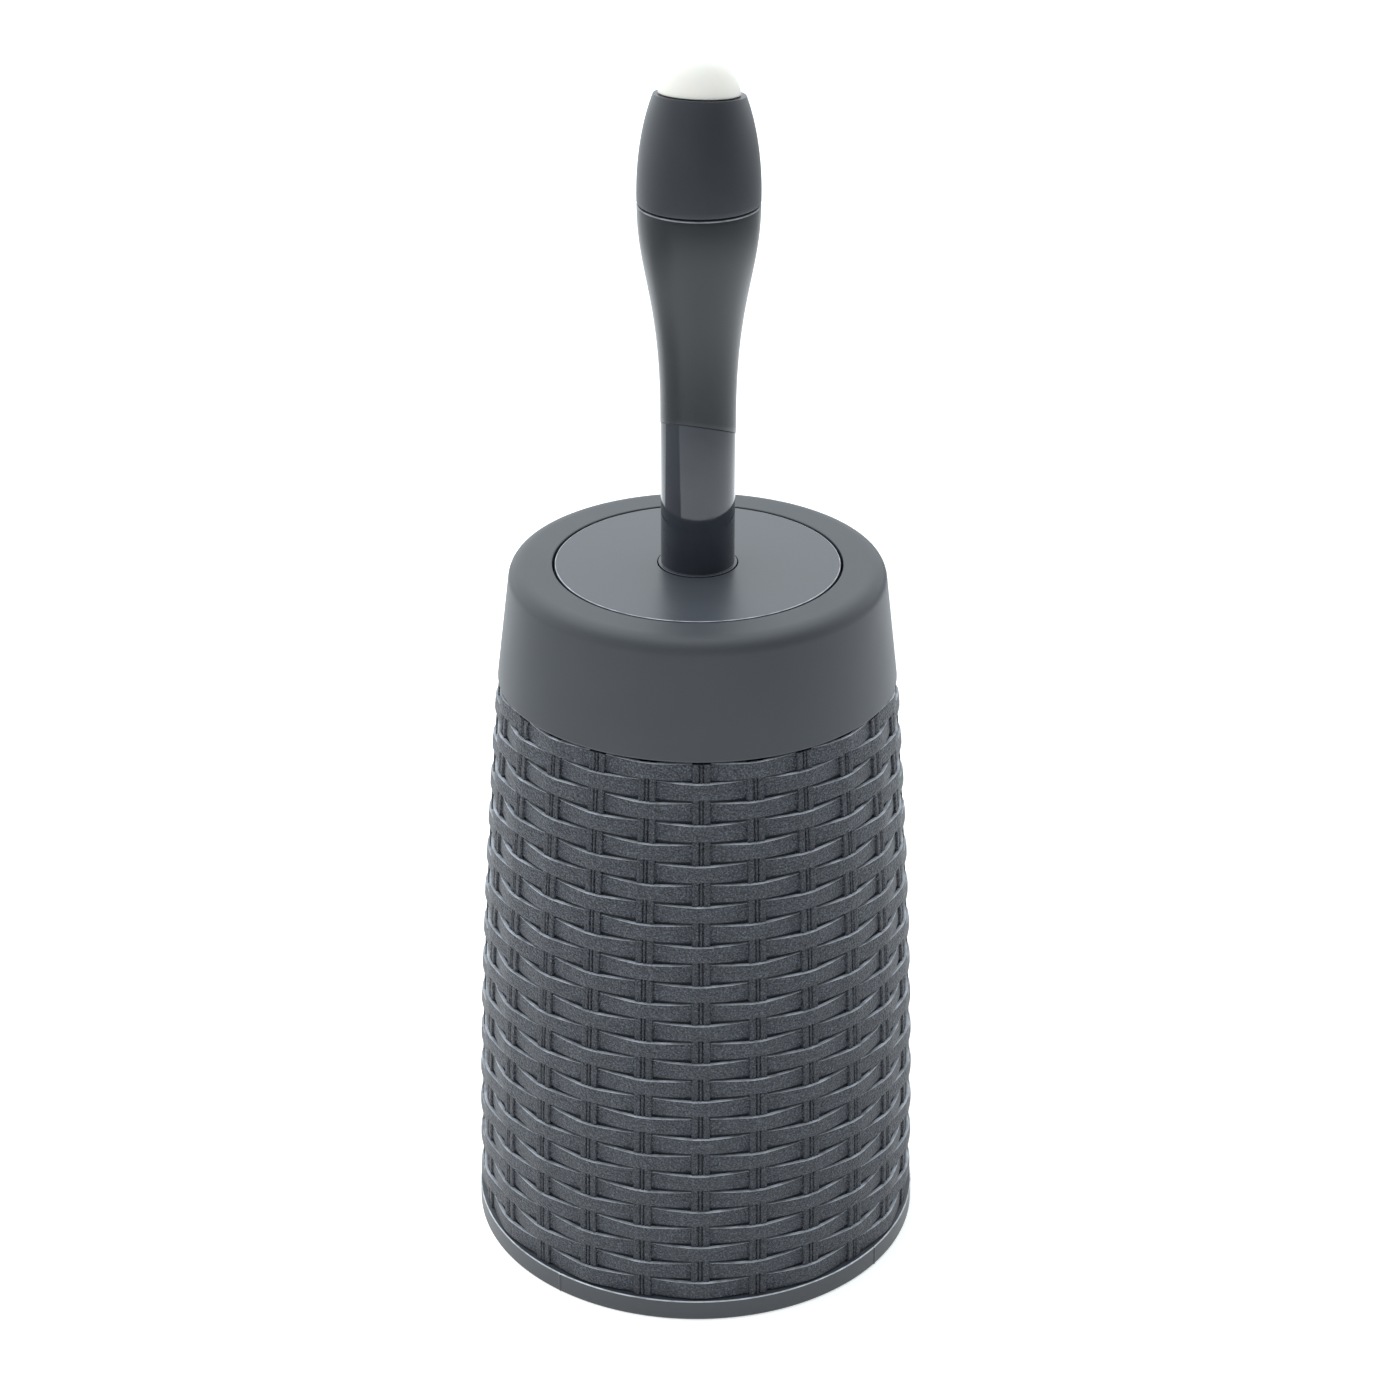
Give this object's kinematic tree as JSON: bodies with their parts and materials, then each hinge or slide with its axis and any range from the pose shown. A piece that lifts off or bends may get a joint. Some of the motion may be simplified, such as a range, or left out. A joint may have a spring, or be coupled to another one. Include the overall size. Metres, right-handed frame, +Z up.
{
  "type": "closed toilet brush and holder",
  "caption": "Toilet brush with a round lid on its handle, standing in a tall tapered rattan-effect holder with a smooth collar and a lift-out drip liner.",
  "frame": {"origin": "middle of the base plate's underside, on the surface that the holder stands on", "axes": "+Z up along the handle and the holder's axis; the picture looks along +Y, so -Y is the front and +X is its right"},
  "size_m": [0.138, 0.138, 0.3688],
  "materials": {
    "rattan_effect_plastic": "blue-grey charcoal moulded basketweave with a fine leathery grain",
    "smooth_grey_plastic": "satin blue-grey charcoal",
    "lid_plastic": "fine matt spark-eroded texture",
    "liner_plastic": "plain satin grey",
    "gloss_black_plastic": "polished near-black",
    "soft_touch_grey": "soft-touch matt charcoal",
    "white_dome_plastic": "smooth satin off-white",
    "bristle": "white nylon filaments"
  },
  "bodies": {
    "holder": {"base_plate": "smooth_grey_plastic", "basket_shell": "rattan_effect_plastic", "top_collar": "smooth_grey_plastic"},
    "liner": {"drip_liner": "liner_plastic"},
    "lid": {"lid_disc": "lid_plastic"},
    "brush": {"handle_shaft": "gloss_black_plastic", "soft_grip": "soft_touch_grey", "barrel_cap": "soft_touch_grey", "end_dome": "white_dome_plastic", "lid_nut": "liner_plastic", "brush_stem": "liner_plastic", "head_core": "liner_plastic", "tuft_row1_1": "bristle", "tuft_row1_2": "bristle", "tuft_row1_3": "bristle", "tuft_row1_4": "bristle", "tuft_row1_5": "bristle", "tuft_row1_6": "bristle", "tuft_row1_7": "bristle", "tuft_row1_8": "bristle", "tuft_row2_1": "bristle", "tuft_row2_2": "bristle", "tuft_row2_3": "bristle", "tuft_row2_4": "bristle", "tuft_row2_5": "bristle", "tuft_row2_6": "bristle", "tuft_row2_7": "bristle", "tuft_row2_8": "bristle", "tuft_row3_1": "bristle", "tuft_row3_2": "bristle", "tuft_row3_3": "bristle", "tuft_row3_4": "bristle", "tuft_row3_5": "bristle", "tuft_row3_6": "bristle", "tuft_row3_7": "bristle", "tuft_row3_8": "bristle", "tuft_row4_1": "bristle", "tuft_row4_2": "bristle", "tuft_row4_3": "bristle", "tuft_row4_4": "bristle", "tuft_row4_5": "bristle", "tuft_row4_6": "bristle", "tuft_row4_7": "bristle", "tuft_row4_8": "bristle", "tuft_row5_1": "bristle", "tuft_row5_2": "bristle", "tuft_row5_3": "bristle", "tuft_row5_4": "bristle", "tuft_row5_5": "bristle", "tuft_row5_6": "bristle", "tuft_row5_7": "bristle", "tuft_row5_8": "bristle", "end_tuft_1": "bristle", "end_tuft_2": "bristle", "end_tuft_3": "bristle", "end_tuft_4": "bristle", "end_tuft_5": "bristle", "end_tuft_middle": "bristle"}
  },
  "joints": [
    {"name": "liner_lift", "type": "slide", "parent": "holder", "child": "liner", "axis": [0, 0, 1], "range_m": [0, 0.22]},
    {"name": "brush_lift", "type": "slide", "parent": "liner", "child": "lid", "axis": [0, 0, 1], "range_m": [0, 0.215]},
    {"name": "handle_turn", "type": "hinge", "parent": "lid", "child": "brush", "pos_m": [0, 0, 0.2203], "axis": [0, 0, 1], "continuous": true}
  ]
}
